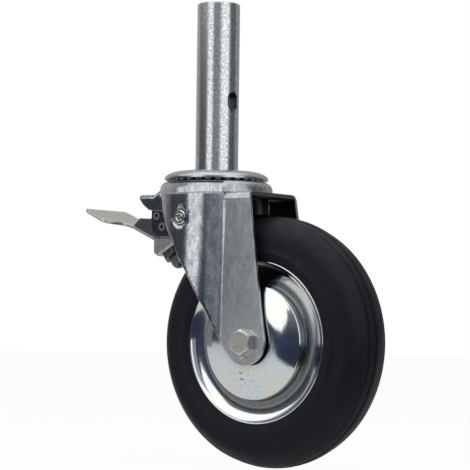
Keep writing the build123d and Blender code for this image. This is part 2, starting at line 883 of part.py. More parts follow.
# Lock tooth: a cross plate between the flanges with the tooth on it
with BuildPart() as lock_tooth:
    with BuildSketch(Plane(origin=(23, 0, 0), x_dir=(0, 1, 0), z_dir=(1, 0, 0))):
        with BuildLine():
            Polyline(
                (-11.5, -40.3),
                (-11.5, -35),
                (-3.5, -34),
                (-1.5, -32),
                (-1.5, tooth_top_z + 0.8),
                (-0.7, tooth_top_z),
                (0.7, tooth_top_z),
                (1.5, tooth_top_z + 0.8),
                (1.5, -32),
                (3.5, -34),
                (11.5, -35),
                (11.5, -40.3),
                (-11.5, -40.3),
            )
        make_face()
    extrude(amount=2.3, both=True)
lock_tooth.part.label = "lock_tooth"
export_step(lock_tooth.part, "parts/lock_tooth.step")
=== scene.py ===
"""Scaffold castor: finishes, turned and rounded pieces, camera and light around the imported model."""

import json
import math

import bmesh
import bpy
from mathutils import Matrix, Vector


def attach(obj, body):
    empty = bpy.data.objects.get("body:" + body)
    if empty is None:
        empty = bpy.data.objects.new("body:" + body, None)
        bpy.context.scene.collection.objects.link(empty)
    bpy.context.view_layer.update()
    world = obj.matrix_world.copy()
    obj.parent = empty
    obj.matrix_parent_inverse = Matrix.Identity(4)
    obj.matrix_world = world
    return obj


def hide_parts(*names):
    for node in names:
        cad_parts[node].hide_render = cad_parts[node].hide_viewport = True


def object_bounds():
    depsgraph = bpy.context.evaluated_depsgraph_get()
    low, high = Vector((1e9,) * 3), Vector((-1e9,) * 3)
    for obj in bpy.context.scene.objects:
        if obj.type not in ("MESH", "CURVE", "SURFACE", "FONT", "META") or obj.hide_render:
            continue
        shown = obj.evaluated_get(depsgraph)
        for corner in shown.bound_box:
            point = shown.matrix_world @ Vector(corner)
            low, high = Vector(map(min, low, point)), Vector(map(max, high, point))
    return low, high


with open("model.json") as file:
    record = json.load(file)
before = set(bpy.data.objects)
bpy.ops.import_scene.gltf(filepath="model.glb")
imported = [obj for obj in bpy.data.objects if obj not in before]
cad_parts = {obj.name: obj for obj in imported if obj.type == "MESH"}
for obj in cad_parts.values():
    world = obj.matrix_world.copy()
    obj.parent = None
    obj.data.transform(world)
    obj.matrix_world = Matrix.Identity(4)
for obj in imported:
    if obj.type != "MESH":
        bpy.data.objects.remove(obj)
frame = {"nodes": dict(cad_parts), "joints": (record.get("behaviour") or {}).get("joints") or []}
cad_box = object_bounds()

bl_info = {
    "name": "Scaffold Castor",
    "version": (1, 0, 0),
    "blender": (4, 5, 0),
    "location": "View3D > Sidebar > Castor",
    "description": "Dresses the packed castor with its finishes and rounded pieces",
    "category": "Add Mesh",
}

NODES = frame["nodes"]
JOINTS = {joint["name"]: joint for joint in frame["joints"]}
AXLE = Vector(JOINTS["wheel_spin"]["pos_m"])
MM = 0.001
DOME = Vector((0.085, -0.030, -0.130))
DRAFT = 0.047
LEG_TOP = -0.0185
CREASE = -0.0195
STAIN_SHIFT = Vector((-0.002, 0, -0.029))
LAMP_DISTANCE = 1.3


# Small helpers


def linear(code):
    """Turn an sRGB hex colour into the linear colour that the shaders take."""
    channels = [int(code[i:i + 2], 16) / 255 for i in (1, 3, 5)]
    return tuple(c / 12.92 if c <= 0.04045 else ((c + 0.055) / 1.055) ** 2.4 for c in channels) + (1.0,)


def add(tree, kind, inputs=None, **settings):
    """Add one node with its settings; an input given as a socket is linked, any other value is set."""
    made = tree.nodes.new(kind)
    for name, value in settings.items():
        setattr(made, name, value)
    for key, value in (inputs or {}).items():
        if isinstance(value, bpy.types.NodeSocket):
            tree.links.new(value, made.inputs[key])
        else:
            made.inputs[key].default_value = value
    return made


def new_material(name, **values):
    """Start a material with one shader; the values are set on the shader's own sockets."""
    material = bpy.data.materials.new(name)
    material.use_nodes = True
    tree = material.node_tree
    tree.nodes.clear()
    sockets = {key.replace("_", " "): value for key, value in values.items()}
    shader = add(tree, "ShaderNodeBsdfPrincipled", sockets)
    add(tree, "ShaderNodeOutputMaterial", {"Surface": shader.outputs["BSDF"]})
    return material, tree, shader


def place(tree, centre=(0, 0, 0), scale=(1, 1, 1), turn=(0, 0, 0)):
    """Object coordinates, centred, turned and scaled."""
    where = add(tree, "ShaderNodeTexCoord")
    return add(
        tree,
        "ShaderNodeMapping",
        {"Vector": where.outputs["Object"], "Location": centre, "Rotation": turn, "Scale": scale},
        vector_type="TEXTURE",
    ).outputs["Vector"]


def grains(tree, size, vector, detail=3.0, roughness=0.6, distortion=0.0):
    """Noise whose blotches are about the given size in metres."""
    return add(
        tree,
        "ShaderNodeTexNoise",
        {
            "Vector": vector,
            "Scale": 1 / size,
            "Detail": detail,
            "Roughness": roughness,
            "Distortion": distortion,
        },
    ).outputs["Fac"]


def spread(tree, value, low, high, to_low, to_high, smooth=False):
    """Map a value from one range to another, clamped."""
    return add(
        tree,
        "ShaderNodeMapRange",
        {"Value": value, "From Min": low, "From Max": high, "To Min": to_low, "To Max": to_high},
        interpolation_type="SMOOTHSTEP" if smooth else "LINEAR",
    ).outputs["Result"]


def blend_colour(tree, factor, first, second, kind="MIX"):
    """Mix two colours, each a socket or a linear colour."""
    mix = add(tree, "ShaderNodeMix", data_type="RGBA", blend_type=kind)
    for socket, value in zip((mix.inputs[0], mix.inputs[6], mix.inputs[7]), (factor, first, second)):
        if isinstance(value, bpy.types.NodeSocket):
            tree.links.new(value, socket)
        else:
            socket.default_value = value
    return mix.outputs[2]


def maths(tree, kind, *values, clamp=False):
    """One step of arithmetic on sockets or numbers."""
    return add(tree, "ShaderNodeMath", dict(enumerate(values)), operation=kind, use_clamp=clamp).outputs[0]


def join_bump(tree, shader, height, depth, strength=1.0):
    """Give the shader a bump of that depth in metres."""
    bump = add(tree, "ShaderNodeBump", {"Height": height, "Distance": depth, "Strength": strength})
    tree.links.new(bump.outputs["Normal"], shader.inputs["Normal"])


def dress(material, *names):
    """Give CAD nodes or pieces a material."""
    for name in names:
        piece = NODES.get(name) or bpy.data.objects[name]
        piece.data.materials.clear()
        piece.data.materials.append(material)


def round_edges(width, *names):
    """Round the cut edges of CAD nodes by that width in metres."""
    for name in names:
        piece = NODES[name]
        weld = piece.modifiers.new("joined_faces", "WELD")
        weld.merge_threshold = 2e-6
        edge = piece.modifiers.new("rounded_edges", "BEVEL")
        edge.width = width
        edge.segments = 2
        edge.limit_method = "ANGLE"
        edge.angle_limit = math.radians(38)
        edge.use_clamp_overlap = False
        edge.harden_normals = True


def finish_piece(name, shape, body, material, replaced=(), sharp=35):
    """Turn a bmesh into a piece that rides on a body and may stand for CAD nodes."""
    bmesh.ops.remove_doubles(shape, verts=shape.verts, dist=2e-6)
    bmesh.ops.recalc_face_normals(shape, faces=shape.faces)
    data = bpy.data.meshes.new(name)
    shape.to_mesh(data)
    shape.free()
    for face in data.polygons:
        face.use_smooth = True
    data.set_sharp_from_angle(angle=math.radians(sharp))
    data.materials.append(material)
    piece = bpy.data.objects.new(name, data)
    bpy.context.scene.collection.objects.link(piece)
    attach(piece, body)
    if replaced:
        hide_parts(*replaced)
    return piece


def smooth_line(points, steps=6):
    """Points of a smooth curve through the given ones (Catmull-Rom), ends included."""
    ends = [points[0], *points, points[-1]]
    line = []
    for before, start, end, after in zip(ends, ends[1:], ends[2:], ends[3:]):
        for step in range(steps):
            t = step / steps
            line.append(tuple(
                0.5 * (
                    2 * b
                    + (c - a) * t
                    + (2 * a - 5 * b + 4 * c - d) * t ** 2
                    + (3 * b - a - 3 * c + d) * t ** 3
                )
                for a, b, c, d in zip(before, start, end, after)
            ))
    return [*line, points[-1]]


def turned(outline, centre, axis, steps):
    """Spin an open or closed outline of (along, radius) points in mm about an axis."""
    axis = Vector(axis)
    out = Vector((1, 0, 0))
    shape = bmesh.new()
    points = [shape.verts.new(centre + axis * along * MM + out * radius * MM) for along, radius in outline]
    lines = [shape.edges.new(pair) for pair in zip(points, points[1:])]
    bmesh.ops.spin(
        shape,
        geom=points + lines,
        cent=centre,
        axis=axis,
        angle=math.tau,
        steps=steps,
        use_merge=True,
    )
    return shape


# Finishes


def galvanised_tube(colours):
    """Zinc-plated drawn tube: a satin skin with a fine mottled grain and faint drawing lines along it."""
    material, tree, shader = new_material("zinc_plated_drawn_tube", Metallic=1.0)
    mottle = grains(tree, 1.5 * MM, place(tree), detail=4, roughness=0.75)
    lines = grains(tree, 0.7 * MM, place(tree, scale=(1, 1, 14)), detail=2)
    share = spread(tree, mottle, 0.32, 0.68, 0, 1)
    colour = blend_colour(tree, share, linear(colours.tube_dark), linear(colours.tube))
    tree.links.new(colour, shader.inputs["Base Color"])
    tree.links.new(spread(tree, mottle, 0.3, 0.7, 0.27, 0.15), shader.inputs["Roughness"])
    join_bump(tree, shader, blend_colour(tree, 0.35, mottle, lines), 0.09 * MM)
    return material


def zinc_pressing(colours):
    """Zinc-plated pressed sheet: the drawn skirt is polished by the die, the flat legs keep a satin grain."""
    material, tree, shader = new_material("zinc_plated_pressed_sheet", Metallic=1.0)
    grain = grains(tree, 1.1 * MM, place(tree, scale=(1, 1, 1.3)), detail=4, roughness=0.75)
    streaks = grains(tree, 4 * MM, place(tree, scale=(1, 1, 2.2)), detail=6, roughness=0.75)
    clouds = grains(tree, 16 * MM, place(tree, scale=(1, 1, 1.6)), detail=3)
    apart = add(tree, "ShaderNodeSeparateXYZ", {"Vector": place(tree)})
    x, y, z = (apart.outputs[name] for name in "XYZ")
    flat = spread(tree, x, 27 * MM, 35 * MM, 0, 1, smooth=True)
    colour = blend_colour(
        tree, spread(tree, streaks, 0.38, 0.62, 0, 1), linear(colours.sheet_dark), linear(colours.sheet)
    )
    colour = blend_colour(tree, spread(tree, clouds, 0.5, 0.75, 0, 0.5), colour, linear(colours.sheet_pale))
    low = maths(tree, "MULTIPLY", flat, spread(tree, z, -85 * MM, -150 * MM, 0, 0.8, smooth=True))
    colour = blend_colour(tree, low, colour, linear(colours.sheet_pale))
    speckle = spread(tree, grain, 0.35, 0.65, 0.72, 1.12)
    colour = blend_colour(tree, 1.0, colour, speckle, "MULTIPLY")
    # The inside is dull and greasy, and the grease colour also paints the shade that falls there: inside the
    # skirt's circle, or between the legs and below the roof, and on the legs' top rear edges under the roof
    flare = maths(tree, "MULTIPLY_ADD", z, -DRAFT, DRAFT * LEG_TOP)
    squares = maths(tree, "ADD", maths(tree, "MULTIPLY", x, x), maths(tree, "MULTIPLY", y, y))
    circle = maths(tree, "SQRT", squares)
    in_skirt = maths(tree, "LESS_THAN", maths(tree, "SUBTRACT", circle, flare), 43.2 * MM)
    in_skirt = maths(tree, "MULTIPLY", in_skirt, maths(tree, "LESS_THAN", z, -12.1 * MM))
    between = maths(tree, "LESS_THAN", maths(tree, "SUBTRACT", maths(tree, "ABSOLUTE", y), flare), 30 * MM)
    between = maths(tree, "MULTIPLY", between, maths(tree, "LESS_THAN", z, -21.5 * MM))
    between = maths(tree, "MULTIPLY", between, maths(tree, "GREATER_THAN", x, 20 * MM))
    above = spread(tree, z, -22 * MM, -21.4 * MM, 0, 0.8)
    roof_edge = maths(tree, "MULTIPLY", maths(tree, "GREATER_THAN", x, 56.6 * MM), above)
    grease_and_shade_mask = maths(tree, "MAXIMUM", maths(tree, "MAXIMUM", in_skirt, between), roof_edge)
    colour = blend_colour(tree, grease_and_shade_mask, colour, linear(colours.grease_and_shade))
    tree.links.new(colour, shader.inputs["Base Color"])
    skirt = spread(tree, streaks, 0.3, 0.7, 0.2, 0.12)
    leg = spread(tree, streaks, 0.3, 0.7, 0.38, 0.28)
    rough = add(tree, "ShaderNodeMix", {0: flat, 2: skirt, 3: leg})
    tree.links.new(rough.outputs[0], shader.inputs["Roughness"])
    # The crown's shoulder leans in above a crease that the press has left
    on_skirt = maths(tree, "LESS_THAN", circle, 47.5 * MM)
    crown = maths(tree, "MULTIPLY", on_skirt, maths(tree, "LESS_THAN", x, 31 * MM))
    lean = spread(tree, z, -18.8 * MM, -10 * MM, 0, -4.4 * MM)
    off = maths(tree, "ABSOLUTE", maths(tree, "SUBTRACT", z, CREASE))
    crease = spread(tree, off, 0, 0.7 * MM, -0.5 * MM, 0, smooth=True)
    shape = maths(tree, "MULTIPLY", crown, maths(tree, "ADD", lean, crease))
    skin = maths(tree, "MULTIPLY", blend_colour(tree, 0.4, grain, streaks), 0.05 * MM)
    join_bump(tree, shader, maths(tree, "ADD", shape, skin), 1.0)
    return material


def round_axle(tree):
    """Distance from the wheel's axle, in metres."""
    apart = add(tree, "ShaderNodeSeparateXYZ", {"Vector": place(tree, centre=AXLE)})
    x, z = apart.outputs["X"], apart.outputs["Z"]
    squares = maths(tree, "ADD", maths(tree, "MULTIPLY", x, x), maths(tree, "MULTIPLY", z, z))
    return maths(tree, "SQRT", squares)


def bright_rim(colours):
    """Bright zinc on a spun disc: a mirror with a blue cast, fine scratches, tiny specks, dark stains and
    painted shade in the groove's root.
    """
    material, tree, shader = new_material("bright_zinc_plate", Metallic=1.0)
    specks = grains(tree, 1.1 * MM, place(tree), detail=4, roughness=0.75)
    stain = grains(tree, 3.2 * MM, place(tree, scale=(2.2, 1, 0.8)), detail=6, roughness=0.8)
    pale = grains(tree, 22 * MM, place(tree), detail=2)
    share = spread(tree, pale, 0.4, 0.65, 0, 1)
    colour = blend_colour(tree, share, linear(colours.rim), linear(colours.rim_warm))
    share = spread(tree, specks, 0.54, 0.66, 0, 0.6)
    colour = blend_colour(tree, share, colour, linear(colours.rim_speck))
    # Grease has dried in specks below the bolt
    spot = place(tree, centre=AXLE + STAIN_SHIFT)
    apart = add(tree, "ShaderNodeSeparateXYZ", {"Vector": spot})
    drop = maths(tree, "ADD", apart.outputs["X"], maths(tree, "MULTIPLY", apart.outputs["Z"], 0.5))
    far = maths(tree, "ADD", maths(tree, "ABSOLUTE", drop), maths(tree, "ABSOLUTE", apart.outputs["Z"]))
    near = spread(tree, far, 6 * MM, 24 * MM, 0.13, 0, smooth=True)
    soiled = maths(tree, "ADD", stain, near)
    colour = blend_colour(tree, spread(tree, soiled, 0.68, 0.73, 0, 0.75), colour, linear(colours.rim_stain_and_shade))
    # Painted shade: the root of the groove, against the dome, is darkened with the stain colour and made
    # rougher
    radius = round_axle(tree)
    groove_shade = maths(
        tree,
        "MULTIPLY",
        spread(tree, radius, 45.3 * MM, 46.2 * MM, 0, 0.8, smooth=True),
        spread(tree, radius, 49 * MM, 55 * MM, 1, 0, smooth=True),
    )
    colour = blend_colour(tree, groove_shade, colour, linear(colours.rim_stain_and_shade))
    tree.links.new(colour, shader.inputs["Base Color"])
    rough = maths(tree, "MULTIPLY_ADD", groove_shade, 0.2, spread(tree, specks, 0.4, 0.7, 0.06, 0.17))
    tree.links.new(rough, shader.inputs["Roughness"])
    join_bump(tree, shader, specks, 0.012 * MM)
    return material


def forged_bolt(colours):
    """Forged and zinc-plated bolt: warm grey, grainy faces."""
    material, tree, shader = new_material("zinc_plated_forged_steel", Metallic=1.0)
    grit = grains(tree, 0.9 * MM, place(tree), detail=4, roughness=0.8)
    share = spread(tree, grit, 0.35, 0.62, 0, 1)
    colour = blend_colour(tree, share, linear(colours.bolt_dark), linear(colours.bolt))
    tree.links.new(colour, shader.inputs["Base Color"])
    tree.links.new(spread(tree, grit, 0.3, 0.7, 0.36, 0.2), shader.inputs["Roughness"])
    join_bump(tree, shader, grit, 0.12 * MM)
    return material


def tyre_rubber(colours):
    """Moulded rubber: near black, matt, with fine rings from the mould and a faint violet bloom."""
    material, tree, shader = new_material(
        "moulded_black_rubber", Specular_IOR_Level=0.22, Specular_Tint=linear("#e2dcf5")
    )
    bloom = grains(tree, 12 * MM, place(tree), detail=5, roughness=0.65)
    rings = add(
        tree,
        "ShaderNodeTexNoise",
        {"W": round_axle(tree), "Scale": 1 / (0.9 * MM), "Detail": 3.0, "Roughness": 0.7},
        noise_dimensions="1D",
    ).outputs["Fac"]
    worn = blend_colour(tree, 0.5, bloom, rings)
    share = spread(tree, worn, 0.38, 0.62, 0, 1)
    colour = blend_colour(tree, share, linear(colours.rubber), linear(colours.rubber_bloom))
    tree.links.new(colour, shader.inputs["Base Color"])
    tree.links.new(spread(tree, worn, 0.35, 0.65, 0.6, 0.46), shader.inputs["Roughness"])
    pits = grains(tree, 0.6 * MM, place(tree), detail=2)
    join_bump(tree, shader, blend_colour(tree, 0.7, pits, rings), 0.04 * MM)
    return material


def plain_steel(name, code, dark, rough, grain=1.2):
    """Plated or bare steel of the small pieces: satin, with a fine uneven skin."""
    material, tree, shader = new_material(name, Metallic=1.0)
    skin = grains(tree, grain * MM, place(tree), detail=4, roughness=0.7)
    colour = blend_colour(tree, spread(tree, skin, 0.32, 0.68, 0, 1), linear(dark), linear(code))
    tree.links.new(colour, shader.inputs["Base Color"])
    tree.links.new(spread(tree, skin, 0.3, 0.7, rough + 0.08, rough - 0.05), shader.inputs["Roughness"])
    join_bump(tree, shader, skin, 0.05 * MM)
    return material


def plain_plastic(name, code):
    """Moulded plastic of the cage and seals: matt, slightly uneven."""
    material, tree, shader = new_material(name, IOR=1.49)
    skin = grains(tree, 1.5 * MM, place(tree), detail=3)
    tone = linear(code)
    shade = tuple(channel * 0.8 for channel in tone[:3]) + (1.0,)
    tree.links.new(blend_colour(tree, skin, shade, tone), shader.inputs["Base Color"])
    tree.links.new(spread(tree, skin, 0.3, 0.7, 0.5, 0.4), shader.inputs["Roughness"])
    return material


# What a user may change


class CastorSizes(bpy.types.PropertyGroup):
    """Sizes of the turned and rounded pieces, in metres."""

    wheel_radius: bpy.props.FloatProperty(
        name="Wheel radius", description="Radius of the tread", default=0.100, min=0.08, unit="LENGTH"
    )
    groove_depth: bpy.props.FloatProperty(
        name="Groove depth", description="Depth of the tread grooves", default=0.0009, min=0, unit="LENGTH"
    )
    bead_height: bpy.props.FloatProperty(
        name="Bead height",
        description="Height of the ring on the tyre's side",
        default=0.0005,
        min=0,
        unit="LENGTH",
    )
    turn_steps: bpy.props.IntProperty(
        name="Turning steps", description="Facets round a turned piece", default=192, min=24, max=360
    )
    edge: bpy.props.FloatProperty(
        name="Edge round",
        description="Round on the cut edges of sheet and bar",
        default=0.0004,
        min=0,
        unit="LENGTH",
    )


class CastorColours(bpy.types.PropertyGroup):
    """Colours of the finishes, as sRGB hex codes."""

    tube: bpy.props.StringProperty(name="Tube", description="Zinc of the stem", default="#d9dbdc")
    tube_dark: bpy.props.StringProperty(
        name="Tube, dark", description="Darker grain of the stem", default="#8c9094"
    )
    sheet: bpy.props.StringProperty(name="Sheet", description="Zinc of the pressing", default="#b9bdc1")
    sheet_dark: bpy.props.StringProperty(name="Sheet, dark", description="Darker grain", default="#8d9196")
    sheet_pale: bpy.props.StringProperty(name="Sheet, pale", description="Pale clouds", default="#cdd0d3")
    # The grease colour also paints the shade inside the fork, between the legs and under the roof
    grease_and_shade: bpy.props.StringProperty(
        name="Grease", description="Dull inside of the fork", default="#464648"
    )
    rim: bpy.props.StringProperty(name="Rim", description="Bright zinc", default="#cdd6de")
    rim_warm: bpy.props.StringProperty(
        name="Rim, warm", description="Yellowish cast of the zinc", default="#d6d5cc"
    )
    rim_speck: bpy.props.StringProperty(
        name="Rim specks", description="Specks in the zinc", default="#8f9aa8"
    )
    # The stain colour also paints the shade in the root of the rim's groove
    rim_stain_and_shade: bpy.props.StringProperty(name="Rim stains", description="Stains", default="#4a4c4c")
    bolt: bpy.props.StringProperty(name="Bolt", description="Plating of the bolt", default="#dddcd7")
    bolt_dark: bpy.props.StringProperty(
        name="Bolt, dark", description="Dark grain of the bolt", default="#9c9a95"
    )
    rubber: bpy.props.StringProperty(name="Rubber", description="Rubber", default="#0a090b")
    rubber_bloom: bpy.props.StringProperty(name="Rubber bloom", description="Pale bloom", default="#171519")


class CastorStage(bpy.types.PropertyGroup):
    """Camera and light."""

    focal: bpy.props.FloatProperty(
        name="Focal length", description="Lens for a 36 mm sensor", default=146.36, min=10, unit="CAMERA"
    )
    azimuth: bpy.props.FloatProperty(
        name="Azimuth",
        description="Turn of the view from +Y towards -X",
        default=math.radians(36.21),
        unit="ROTATION",
    )
    pitch: bpy.props.FloatProperty(
        name="Pitch", description="The camera looks up by this", default=math.radians(2.70), unit="ROTATION"
    )
    roll: bpy.props.FloatProperty(
        name="Roll", description="The camera is tilted by this", default=math.radians(0.75), unit="ROTATION"
    )
    place: bpy.props.FloatVectorProperty(
        name="Camera place",
        description="Where the camera stands",
        default=(0.93401, -1.24911, -0.12448),
        unit="LENGTH",
        subtype="TRANSLATION",
    )
    key: bpy.props.FloatProperty(
        name="Soft boxes", description="Strength of the soft boxes", default=1.6, min=0
    )
    lamp: bpy.props.FloatProperty(name="Lamps", description="Strength of the lamps", default=1.6, min=0)
    fill: bpy.props.FloatProperty(
        name="Fill", description="Strength of the room light", default=0.35, min=0
    )


# Stage


def seen(azimuth, elevation):
    """Direction from the wheel's dome; azimuth runs from -Y towards +X, both angles in degrees."""
    turn, rise = math.radians(azimuth), math.radians(elevation)
    return Vector((math.sin(turn) * math.cos(rise), -math.cos(turn) * math.cos(rise), math.sin(rise)))


def stand(name, shape, material):
    """Stand a card in the studio, where only glossy surfaces show it."""
    data = bpy.data.meshes.new(name)
    shape.to_mesh(data)
    shape.free()
    data.materials.append(material)
    piece = bpy.data.objects.new(name, data)
    bpy.context.scene.collection.objects.link(piece)
    piece.visible_camera = False
    piece.visible_diffuse = False
    piece.visible_shadow = False


def board(name, corners, material, facing=0.0, distance=2.0):
    """A flat studio board that shows only in what is glossy; its corners are azimuths and elevations."""
    ahead = seen(facing, 0)
    shape = bmesh.new()
    places = [seen(*corner) for corner in corners]
    ring = [shape.verts.new(DOME + place * (distance / place.dot(ahead))) for place in places]
    shape.faces.new(ring)
    stand(name, shape, material)


def glow(name, code, strength=1.0, above=None):
    """A plain glowing material for studio cards, which may fade to another colour above."""
    material = bpy.data.materials.new(name)
    material.use_nodes = True
    tree = material.node_tree
    tree.nodes.clear()
    light = add(tree, "ShaderNodeEmission", {"Color": linear(code), "Strength": strength})
    if above:
        height = add(tree, "ShaderNodeSeparateXYZ", {"Vector": place(tree)}).outputs["Z"]
        colour = blend_colour(tree, spread(tree, height, 0.1, 2.6, 0, 1), linear(code), linear(above))
        tree.links.new(colour, light.inputs["Color"])
    add(tree, "ShaderNodeOutputMaterial", {"Surface": light.outputs["Emission"]})
    return material


class CASTOR_OT_stage(bpy.types.Operator):
    """Set up the floor, the studio cards, the lamps, the white surroundings and the camera"""

    bl_idname = "castor.stage"
    bl_label = "Stage"

    def execute(self, context):
        settings = context.scene.castor_stage
        self.make_camera(context, settings)
        self.make_floor(context)
        self.make_world(context, settings)
        self.make_cards()
        self.make_lamps(context, settings)
        context.scene.view_settings.view_transform = "Standard"
        return {"FINISHED"}

    def make_camera(self, context, settings):
        """Stand the camera where the photographer's was."""
        ahead = Vector((
            -math.sin(settings.azimuth) * math.cos(settings.pitch),
            math.cos(settings.azimuth) * math.cos(settings.pitch),
            math.sin(settings.pitch),
        ))
        level = Vector((math.cos(settings.azimuth), math.sin(settings.azimuth), 0))
        upright = level.cross(ahead)
        right = math.cos(settings.roll) * level + math.sin(settings.roll) * upright
        above = math.cos(settings.roll) * upright - math.sin(settings.roll) * level
        data = bpy.data.cameras.new("camera")
        data.lens = settings.focal
        data.sensor_width = 36
        data.clip_start = 0.05
        camera = bpy.data.objects.new("camera", data)
        context.scene.collection.objects.link(camera)
        turn = Matrix((right, above, -ahead)).transposed().to_4x4()
        camera.matrix_world = Matrix.Translation(Vector(settings.place)) @ turn
        context.scene.camera = camera

    def make_floor(self, context):
        """Pale floor that is white to the camera and keeps a soft shadow."""
        material = bpy.data.materials.new("pale_floor")
        material.use_nodes = True
        tree = material.node_tree
        tree.nodes.clear()
        path = add(tree, "ShaderNodeLightPath")
        paint = add(tree, "ShaderNodeBsdfDiffuse", {"Color": linear("#f4f4f4")})
        white = add(tree, "ShaderNodeEmission", {"Strength": 1.0})
        in_view = maths(tree, "MULTIPLY", path.outputs["Is Camera Ray"], 0.96)
        in_gloss = maths(tree, "MULTIPLY", path.outputs["Is Glossy Ray"], 0.5)
        share = maths(tree, "MAXIMUM", in_view, in_gloss)
        sides = {0: share, 1: paint.outputs["BSDF"], 2: white.outputs["Emission"]}
        both = add(tree, "ShaderNodeMixShader", sides)
        add(tree, "ShaderNodeOutputMaterial", {"Surface": both.outputs["Shader"]})
        shape = bmesh.new()
        bmesh.ops.create_circle(shape, cap_ends=True, segments=64, radius=6)
        bmesh.ops.translate(shape, vec=(0, 0, cad_box[0].z), verts=shape.verts)
        data = bpy.data.meshes.new("floor")
        shape.to_mesh(data)
        shape.free()
        data.materials.append(material)
        floor = bpy.data.objects.new("floor", data)
        context.scene.collection.objects.link(floor)
        self.make_sweep_edge()

    def make_sweep_edge(self):
        """Beyond the pale sweep's edge the studio floor is dark; it shows only in what is glossy."""
        shape = bmesh.new()
        edge = ((0.395, 0.228), (-2.9, -5.4), (6, -6), (6, 0.228))
        shape.faces.new([shape.verts.new((x, y, cad_box[0].z + 0.002)) for x, y in edge])
        stand("studio_floor", shape, glow("studio_floor", "#343a50"))

    def make_world(self, context, settings):
        """White surroundings for the camera and in reflections, softer for what lights the castor."""
        world = bpy.data.worlds.new("studio")
        context.scene.world = world
        world.use_nodes = True
        tree = world.node_tree
        tree.nodes.clear()
        path = add(tree, "ShaderNodeLightPath")
        shows = path.outputs["Is Camera Ray"]
        for kind in ("Is Glossy Ray", "Is Transmission Ray"):
            shows = maths(tree, "MAXIMUM", shows, path.outputs[kind])
        strength = spread(tree, shows, 0, 1, settings.fill, 1.0)
        light = add(tree, "ShaderNodeBackground", {"Color": (1, 1, 1, 1), "Strength": strength})
        add(tree, "ShaderNodeOutputWorld", {"Surface": light.outputs["Background"]})

    def make_cards(self):
        """Soft boxes and the dark boards between them, which draw the bands in the metal."""
        for name, facing, distance, low, high, left, right, code in (
            ("board_far_left", -105, 2.0, -3, 60, -128, -82, "#c2c2c2"),
            ("board_side_left", -76, 2.05, -3, 60, -83, -69, "#88857f"),
            ("board_left", -50, 2.1, -1, 17, -70, -29, "#44464b"),
            ("board_front", -8, 2.3, -30, 60, -31, 18, "#3d4254"),
            ("board_camera", 34, 2.4, -30, 60, 17, 51, "#9ca0a8"),
            ("board_right", 126, 2.0, -3, 60, 101, 151, "#5c5e61"),
            ("board_back", 191, 2.6, -3, 60, 152, 230, "#a8a8a8"),
        ):
            corners = ((left, low), (right, low), (right, high), (left, high))
            board(name, corners, glow(name, code, above="#d0d0d0"), facing, distance)
        white = glow("soft_box_cloth", "#ffffff", bpy.context.scene.castor_stage.key)
        front = ((-31, 5), (-14, 5), (-6, 13), (0, 20), (0, 62), (-31, 62))
        board("soft_box_front", front, white, -12, 0.4)
        board("soft_box_high_left", ((-66, 17), (-14, 17), (-14, 64), (-66, 64)), white, -40, 2.0)
        board("soft_box_high_right", ((-29, 33), (64, 33), (64, 64), (-29, 64)), white, 18, 2.0)
        shape = bmesh.new()
        bmesh.ops.create_grid(shape, x_segments=1, y_segments=1, size=0.9)
        bmesh.ops.translate(shape, vec=DOME + Vector((0, 0, 1.6)), verts=shape.verts)
        stand("soft_box_top", shape, white)
        board("soft_box_right", ((52, -2), (98, -2), (98, 55), (52, 55)), white, 75, 1.6)

    def make_lamps(self, context, settings):
        """Lamps behind the three cloths light what is matt."""
        for name, azimuth, elevation, size in (
            ("lamp_front", -12, 22, 0.6),
            ("lamp_right", 75, 30, 0.9),
            ("lamp_top", 20, 82, 1.0),
        ):
            data = bpy.data.lights.new(name, "AREA")
            data.shape = "SQUARE"
            data.size = size
            data.energy = settings.lamp * size * size * math.pi
            lamp = bpy.data.objects.new(name, data)
            away = seen(azimuth, elevation)
            turn = away.to_track_quat("Z", "Y").to_matrix().to_4x4()
            lamp.matrix_world = Matrix.Translation(DOME + away * LAMP_DISTANCE) @ turn
            lamp.visible_glossy = False
            context.scene.collection.objects.link(lamp)


class CASTOR_OT_tyre(bpy.types.Operator):
    """Turn the rubber tyre with its tread grooves and the bead on each side"""

    bl_idname = "castor.tyre"
    bl_label = "Tyre"

    def execute(self, context):
        sizes = context.scene.castor_sizes
        deep = sizes.groove_depth / MM
        top = sizes.wheel_radius / MM
        bead = 25.0 + sizes.bead_height / MM
        half = [(0, top)]
        for along, fall in ((4.0, 0.3), (10.8, 2.2)):
            radius = top - fall
            half += [
                (along - 1.0, radius + 0.1),
                (along - 0.55, radius - 0.15),
                (along - 0.4, radius - deep),
                (along + 0.4, radius - deep - 0.1),
                (along + 0.55, radius - 0.3),
                (along + 1.0, radius - 0.35),
            ]
        shoulder = [(13.4, 96.6), (16, 95), (19.3, 92.6), (22, 90), (23.8, 87.3), (24.7, 84), (25, 79)]
        half += smooth_line(shoulder)
        half += [(25, 72.6), (25.2, 72.2), (bead, 71.6), (bead, 71.0), (25.2, 70.4), (25, 70.0), (25, 64.3)]
        half += [(24.7, 63.9), (23.4, 64.5), (19.3, 60.6), (18.3, 57)]
        outline = [(-along, radius) for along, radius in half]
        outline = outline[::-1] + half[1:] + [outline[-1]]
        finish_piece(
            "turned_tyre",
            turned(outline, AXLE, (0, 1, 0), sizes.turn_steps),
            "wheel",
            NODES["tyre"].data.materials[0],
            ["tyre"],
            sharp=40,
        )
        return {"FINISHED"}


